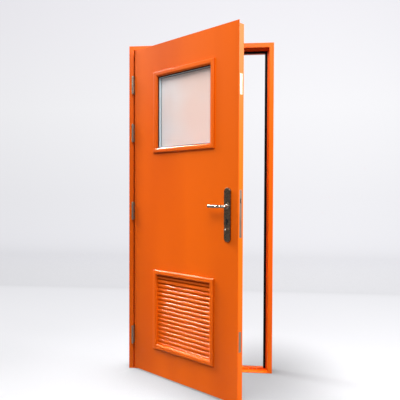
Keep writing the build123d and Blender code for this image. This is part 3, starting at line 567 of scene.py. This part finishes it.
def as_mesh(source, name, body, turn=None, smooth_angle=35.0):
    """Turn an object with modifiers into a plain mesh that rides on a body."""
    bpy.context.view_layer.update()
    shaped = source.evaluated_get(bpy.context.evaluated_depsgraph_get())
    mesh = bpy.data.meshes.new_from_object(shaped)
    piece = bpy.data.objects.new(name, mesh)
    scene.collection.objects.link(piece)
    bpy.data.objects.remove(source)
    work = bmesh.new()
    work.from_mesh(mesh)
    bmesh.ops.remove_doubles(work, verts=work.verts, dist=0.000005)
    bmesh.ops.recalc_face_normals(work, faces=work.faces)
    if turn is not None:
        bmesh.ops.transform(work, matrix=turn, verts=work.verts)
    for face in work.faces:
        face.smooth = True
    for seam in work.edges:
        seam.smooth = seam.is_manifold and seam.calc_face_angle(0.0) < math.radians(smooth_angle)
    work.to_mesh(mesh)
    work.free()
    piece.name = name
    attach(piece, body)
    print(name, len(mesh.polygons), "faces")
    return piece


# %% Louvre, made
by_rule = blades.modifiers.new("by_rule", "NODES")
by_rule.node_group = louvre_tree
set_inputs(by_rule, {"Fold radius": blade_fold, "Blade length": blade_span,
                     "Blade count": blade_count, "Pitch": blade_pitch,
                     "First height": louvre_base + first_blade_up, "Finish": powder})
sheet = blades.modifiers.new("sheet", "SOLIDIFY")
sheet.thickness = blade_sheet
sheet.offset = 0.0
slats = as_mesh(blades, "louvre_slats", "leaf", leaf_turn)

# %% Side rails of the louvre
rail_front = 3 * MM
rail_back = 38 * MM
rail_flange = 8 * MM
rail_end = 13 * MM
rail_sheet = 1.4 * MM
rail_gap = 0.75 * MM
rail_low = louvre_base + rail_end
rail_high = louvre_base + louvre_height - rail_end
work = bmesh.new()
for side in (-1, 1):
    x = panel_x + side * (blade_span / 2 + rail_gap)
    outline = [(x - side * rail_flange, rail_back), (x, rail_back), (x, rail_front)]
    low = [work.verts.new((px, py, rail_low)) for px, py in outline]
    high = [work.verts.new((px, py, rail_high)) for px, py in outline]
    for i in range(len(outline) - 1):
        work.faces.new((low[i], low[i + 1], high[i + 1], high[i]))
rail_pair = object_from(work, "louvre_side_rails", powder)
folded_sheet = rail_pair.modifiers.new("sheet", "SOLIDIFY")
folded_sheet.thickness = rail_sheet
folded_sheet.offset = 0.0
rail_pair = as_mesh(rail_pair, "louvre_side_rails_pair", "leaf", leaf_turn)
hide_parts("louvre_blades")

# %% [markdown]
# ## The beads
#
# A bead is a folded strip round each panel, on both faces of the leaf. Its section rises in a
# short edge, leans in over a narrow slope to a flat crown, and drops down a second slope to the
# glass or the blades. At a mitred corner each line of the section simply turns, so a ring is the
# section's points, each taken round four corners. The folds are rounded first, because a fold
# in steel sheet is never sharp and its edge is what catches the light.


# %% Rounded folds and mitred rings
def rounded_folds(points, radius, steps):
    """The same run of points with each corner replaced by a short curve."""
    run = [Vector(p) for p in points]
    smooth = [run[0]]
    for before, corner, after in zip(run, run[1:], run[2:]):
        reach = min(radius, (corner - before).length / 2, (after - corner).length / 2)
        start = corner + (before - corner).normalized() * reach
        end = corner + (after - corner).normalized() * reach
        for i in range(steps + 1):
            t = i / steps
            smooth.append(start * (1 - t) ** 2 + corner * 2 * t * (1 - t) + end * t ** 2)
    return smooth + [run[-1]]


def mitred_ring(name, section, centre_z, height, face_y, toward, finish):
    """A section of (inward, proud) points in mm, taken round a panel of that height."""
    work = bmesh.new()
    corners = []
    for inward, proud in section:
        across_by = panel_width / 2 - inward * MM
        up_by = height / 2 - inward * MM
        y = face_y + toward * proud * MM
        corners.append([work.verts.new((panel_x + sx * across_by, y, centre_z + sz * up_by))
                        for sx, sz in ((-1, -1), (1, -1), (1, 1), (-1, 1))])
    for lower, upper in zip(corners, corners[1:]):
        for i in range(4):
            j = (i + 1) % 4
            work.faces.new((lower[i], lower[j], upper[j], upper[i]))
    return object_from(work, name, finish)


# %% One bead
# The points of its section are (inward, proud) in mm, and so is the radius of its folds
bead_sheet = 1.4 * MM
bead_fold = 1.0
bead_fold_steps = 4
bead_outside = [(0, 0), (0, 7.6), (5.0, 11.0), (21.5, 11.0), (29.0, 5.0)]


def bead_ring(name, centre_z, height, face_y, toward, foot):
    """One bead of bent sheet, toward -1 outside and 1 inside, its foot that many mm deep."""
    section = rounded_folds(bead_outside + [(29.0, -foot)], bead_fold, bead_fold_steps)
    ring = mitred_ring(name, section, centre_z, height, face_y, toward, powder)
    bent = ring.modifiers.new("sheet", "SOLIDIFY")
    bent.thickness = bead_sheet
    bent.offset = 1.0 if toward > 0 else -1.0
    return as_mesh(ring, name + "_ring", "leaf", leaf_turn)


# %% Beads and pane sealant, made
leaf_thickness = 44.0 * MM
vision_z = 1583.5 * MM
vision_height = 480.0 * MM
louvre_z = louvre_base + louvre_height / 2
for name, centre_z, height, face_y, toward, foot, stands_for in (
    ("glass_bead_front", vision_z, vision_height, 0.0, -1, 5.0, "vision_bead_outer"),
    ("glass_bead_back", vision_z, vision_height, leaf_thickness, 1, 9.0, "vision_bead_inner"),
    ("louvre_bead_front", louvre_z, louvre_height, 0.0, -1, 3.0, "louvre_bead_outer"),
    ("louvre_bead_back", louvre_z, louvre_height, leaf_thickness, 1, 6.0, "louvre_bead_inner"),
):
    bead = bead_ring(name, centre_z, height, face_y, toward, foot)
    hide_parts(stands_for)

# The two panes are stuck to their spacer with a black sealant, which shows as a thin line.
# That line is also painted shade: it stands for the dark gap behind the spacer.
sealant_shade_section = [(32.9, 27.9), (36.5, 27.9), (36.5, 27.0), (32.9, 27.0), (32.9, 27.9)]
sealant_and_shade = mitred_ring("pane_sealant", sealant_shade_section, vision_z, vision_height, 0.0, 1, rubber)
sealant_and_shade = as_mesh(sealant_and_shade, "pane_sealant_line", "leaf", leaf_turn)

# %% [markdown]
# ## The rubber seals
#
# A seal is one length of extruded rubber round three sides of the stop: a flat foot, a hollow
# bulb that the leaf squeezes, and a thin fin past the stop's edge. An extrusion has the same
# section everywhere, so the section is drawn once and carried up one jamb, across the head and
# down the other, with the two corners mitred as a fitter cuts them.

# %% Seal round the stop
# Sizes in mm. A point of the section is (inward from the seal's outer edge, Y)
seal_outer = 409.5
seal_top = 1982.0
seal_foot = 15.6
stop_face = 50.0
bulb_front = 44.4
bulb_middle = 6.0
bulb_radius = 4.8
bulb_steps = 12
bulb_root = stop_face - 2.2
seal_section = [(0, stop_face - 0.05), (0, stop_face - 1.8), (1.2, bulb_root)]
for step in range(1, bulb_steps):
    angle = math.pi * step / bulb_steps
    seal_section.append((bulb_middle - bulb_radius * math.cos(angle),
                         bulb_root - (bulb_root - bulb_front) * math.sin(angle)))
seal_section += [(10.8, bulb_root), (12.0, stop_face - 1.8), (15.2, stop_face - 2.6),
                 (15.4, stop_face - 2.1), (12.4, stop_face - 0.05)]
work = bmesh.new()
path_corners = []
for inward, y in seal_section:
    across_by = seal_outer - inward
    up_by = seal_top - inward
    path_corners.append([work.verts.new(Vector((x, y, z)) * MM) for x, z in (
        (-across_by, seal_foot), (-across_by, up_by), (across_by, up_by),
        (across_by, seal_foot))])
for here, there in zip(path_corners, path_corners[1:] + path_corners[:1]):
    for i in range(3):
        work.faces.new((here[i], here[i + 1], there[i + 1], there[i]))
for end in (0, 3):
    work.faces.new([corner[end] for corner in path_corners])
bulb_seal = object_from(work, "bulb_seal", rubber)
bulb_seal = as_mesh(bulb_seal, "bulb_seal_round", "frame", None, 40.0)
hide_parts("hinge_jamb_seal", "lock_jamb_seal", "head_seal")

# %% [markdown]
# ## The levers
#
# A lever handle is cast or bent from round bar and polished: it leaves the plate through a
# collar, bends across towards the hinges, swells a little where the hand holds it and turns back
# to the door at its tip. It is made by moving a circle along that path, with a radius that
# changes on the way, and closing the tip with a dome. The collar and the thumb knob are turned
# on a lathe, so each is a profile swung round an axis. Sizes in these cells are in mm.


# %% A turned form
def lathe(work, profile, x, z, surface, toward, sides=32):
    """Draw a profile of (radius, proud) points turned about Y at (x, z), and give its rings."""
    rings = []
    for radius, proud in profile:
        ring = []
        for k in range(sides):
            angle = 2 * math.pi * k / sides
            spot = Vector((x + radius * math.cos(angle), surface + toward * proud,
                           z + radius * math.sin(angle)))
            ring.append(work.verts.new(spot * MM))
        rings.append(ring)
    for inner, outer in zip(rings, rings[1:]):
        for k in range(sides):
            work.faces.new((inner[k], inner[(k + 1) % sides], outer[(k + 1) % sides], outer[k]))
    return rings


# %% The lever along its path
spindle_across = 346.5
spindle_up = 1035.0
lever_out = 44.5
lever_reach = 102.5
lever_return = 18.0
lever_bend = 16.0
lever_sides = 28
point_spacing = 4
tip_dome = 6.0
# The collar has a low step, a hollow and a rounded crown against the bar
collar = [(8.0, 9.4), (13.0, 9.4), (13.0, 11.0), (12.2, 12.0), (10.6, 12.6), (10.0, 15.0),
          (8.0, 15.6), (8.0, 9.4)]


def bar_radius(run, length):
    """The bar's radius after a run along its path: a swell, a neck and a domed tip."""
    share = run / length
    radius = 8.6 + 0.9 * math.sin(math.pi * min(1.0, max(0.0, (share - 0.3) / 0.6)))
    radius -= 1.6 * math.exp(-((share - 0.38) / 0.05) ** 2)
    to_tip = length - run
    if to_tip < tip_dome:
        radius *= math.sqrt(max(0.02, 1 - ((tip_dome - to_tip) / (tip_dome + 0.2)) ** 2))
    return radius


def lever_mesh(name, toward):
    """A bar along a bent path with a changing radius, toward -1 outside and 1 inside."""
    surface = 0.0 if toward < 0 else leaf_thickness / MM
    out = surface + toward * lever_out
    tip_x = spindle_across - lever_reach
    path = rounded_folds([
        (spindle_across, surface + toward * 1.0), (spindle_across, out), (tip_x, out),
        (tip_x, out - toward * lever_return)], lever_bend, 8)
    fine = []
    for a, b in zip(path, path[1:]):
        pieces = max(1, int((b - a).length / point_spacing))
        fine += [a.lerp(b, i / pieces) for i in range(pieces)]
    fine.append(path[-1])
    length = sum((b - a).length for a, b in zip(fine, fine[1:]))
    work = bmesh.new()
    rings = []
    run = 0.0
    for i, spot in enumerate(fine):
        if i:
            run += (spot - fine[i - 1]).length
        heading = (fine[min(i + 1, len(fine) - 1)] - fine[max(i - 1, 0)]).normalized()
        aside_by = Vector((-heading.y, heading.x))
        radius = bar_radius(run, length)
        ring = []
        for k in range(lever_sides):
            angle = 2 * math.pi * k / lever_sides
            flat = spot + aside_by * (radius * math.cos(angle))
            ring.append(work.verts.new(Vector((
                flat.x, flat.y, spindle_up + radius * math.sin(angle))) * MM))
        rings.append(ring)
    for lower, upper in zip(rings, rings[1:]):
        for k in range(lever_sides):
            beside = (k + 1) % lever_sides
            work.faces.new((lower[k], lower[beside], upper[beside], upper[k]))
    work.faces.new(rings[0])
    work.faces.new(rings[-1])
    lathe(work, collar, spindle_across, spindle_up, surface, toward)
    bar = object_from(work, name, bright)
    return as_mesh(bar, name + "_bar", "lever", leaf_turn, 50.0)


for name, toward, stands_for in (("lever_front", -1, "lever_outer"),
                                 ("lever_back", 1, "lever_inner")):
    lever = lever_mesh(name, toward)
    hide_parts(stands_for)

# %% Thumb knob
# The knob under the key's hole is turned, with a waist and a domed end
knob_up = 914.0
knob_profile = [(3.0, -2.0), (3.0, 9.3), (5.6, 10.0), (6.2, 11.4), (5.6, 15.0), (6.2, 19.0),
                (6.9, 22.0), (6.9, 25.0), (6.2, 27.2), (4.4, 28.5), (2.0, 28.95), (0.4, 29.0)]
work = bmesh.new()
knob_rings = lathe(work, knob_profile, spindle_across, knob_up, 0.0, -1)
work.faces.new(knob_rings[0])
work.faces.new(knob_rings[-1])
thumb_knob = object_from(work, "thumb_knob", bright)
thumb_knob = as_mesh(thumb_knob, "thumb_knob_turned", "snib", leaf_turn, 50.0)
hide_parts("turn_knob")

# %% [markdown]
# ## The screws
#
# Each hinge flap has four countersunk screws and each faceplate has two, all with a cross
# recess. One screw is drawn, and Geometry Nodes put a copy on every point of a list, turned the
# way that the flap or plate faces.

# %% One countersunk screw
screw_sides = 24


def screw_mesh(name, head, shank, length):
    """A countersunk screw, its flat head at Z 0 and its shank below, sizes in mm."""
    work = bmesh.new()
    half_arm, half_wide, depth = head * 0.62, head * 0.17, head * 0.4
    cross = [(half_arm, -half_wide), (half_arm, half_wide), (half_wide, half_wide),
             (half_wide, half_arm), (-half_wide, half_arm), (-half_wide, half_wide),
             (-half_arm, half_wide), (-half_arm, -half_wide), (-half_wide, -half_wide),
             (-half_wide, -half_arm), (half_wide, -half_arm), (half_wide, -half_wide)]
    rim = [(head * math.cos(2 * math.pi * k / screw_sides),
            head * math.sin(2 * math.pi * k / screw_sides)) for k in range(screw_sides)]
    around = [work.verts.new(Vector((x, y, 0)) * MM) for x, y in rim]
    mouth = [work.verts.new(Vector((x, y, 0)) * MM) for x, y in cross]
    floor = [work.verts.new(Vector((x * 0.8, y * 0.8, -depth)) * MM) for x, y in cross]
    edges = [work.edges.new((loop[i], loop[(i + 1) % len(loop)]))
             for loop in (around, mouth) for i in range(len(loop))]
    bmesh.ops.triangle_fill(work, edges=edges, use_beauty=True)
    for i in range(len(cross)):
        j = (i + 1) % len(cross)
        work.faces.new((mouth[i], mouth[j], floor[j], floor[i]))
    work.faces.new(floor)
    # Below the head come the end of its cone, the shank and the point
    above = around
    for scale, down in ((shank / head, head - shank), (shank / head, length - 1.5),
                        (0.3 * shank / head, length)):
        below = [work.verts.new(Vector((x * scale, y * scale, -down)) * MM) for x, y in rim]
        for k in range(screw_sides):
            beside = (k + 1) % screw_sides
            work.faces.new((above[k], above[beside], below[beside], below[k]))
        above = below
    work.faces.new(above)
    return object_from(work, name)


# %% Node tree of the screws
screw_tree = bpy.data.node_groups.new("screws_by_rule", "GeometryNodeTree")
for name, kind in (("Places", "NodeSocketGeometry"), ("Screw", "NodeSocketObject"),
                   ("Facing", "NodeSocketVector"), ("Finish", "NodeSocketMaterial")):
    screw_tree.interface.new_socket(name, in_out="INPUT", socket_type=kind)
screw_tree.interface.new_socket("Screws", in_out="OUTPUT", socket_type="NodeSocketGeometry")
given = add_node(screw_tree, "NodeGroupInput").outputs
one = add_node(screw_tree, "GeometryNodeObjectInfo", {"Object": given["Screw"]})
row = add_node(screw_tree, "GeometryNodeInstanceOnPoints", {
    "Points": given["Places"], "Instance": one.outputs["Geometry"],
    "Rotation": given["Facing"]})
real = add_node(screw_tree, "GeometryNodeRealizeInstances", {"Geometry": row.outputs[0]})
coated = add_node(screw_tree, "GeometryNodeSetMaterial", {
    "Geometry": real.outputs[0], "Material": given["Finish"]})
add_node(screw_tree, "NodeGroupOutput", {"Screws": coated.outputs[0]})
print(screw_tree.name, "has", len(screw_tree.nodes), "nodes")

# %% Screws, made
# Places in mm on the shut door. A flap's are (across the flap, up from the hinge's middle), and
# a faceplate's screws are 9 mm from its ends
flap_screw = screw_mesh("flap_screw", 4.38, 2.48, 12.0)
plate_screw = screw_mesh("plate_screw", 2.36, 1.6, 8.0)
frame_flap_x = -416.5
leaf_flap_x = -416.0
lock_edge_x = 411.2
lock_edge_y = 24.0
hinge_heights = (216.0, 995.0, 1479.0, 1777.0)
flap_pattern = ((13.9, -38.52), (25.8, -12.84), (25.8, 12.84), (13.9, 38.52))
faceplates = ((330.5, 54.0), (997.5, 124.5), (1665.0, 54.0))
screw_from_end = 9.0
frame_places = [(frame_flap_x, y, height + up) for height in hinge_heights
                for y, up in flap_pattern]
leaf_places = [(leaf_flap_x, y, height + up) for height in hinge_heights
               for y, up in flap_pattern]
faceplate_places = [(lock_edge_x, lock_edge_y, centre + end) for centre, half in faceplates
                    for end in (screw_from_end - half, half - screw_from_end)]
for name, places, facing, screw, body, turn, stands_for in (
    ("frame_screws", frame_places, 90, flap_screw, "frame", None, "frame_flap_screws"),
    ("leaf_screws", leaf_places, -90, flap_screw, "leaf", leaf_turn, "leaf_flap_screws"),
    ("faceplate_screws", faceplate_places, 90, plate_screw, "leaf", leaf_turn, None),
):
    points = bpy.data.meshes.new(name)
    points.from_pydata([Vector(place) * MM for place in places], [], [])
    spots = bpy.data.objects.new(name, points)
    scene.collection.objects.link(spots)
    by_rule = spots.modifiers.new("by_rule", "NODES")
    by_rule.node_group = screw_tree
    set_inputs(by_rule, {"Screw": screw, "Facing": (0.0, math.radians(facing), 0.0),
                         "Finish": stainless})
    screws = as_mesh(spots, name + "_set", body, turn)
    if stands_for:
        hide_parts(stands_for)
for screw in (flap_screw, plate_screw):
    bpy.data.objects.remove(screw)
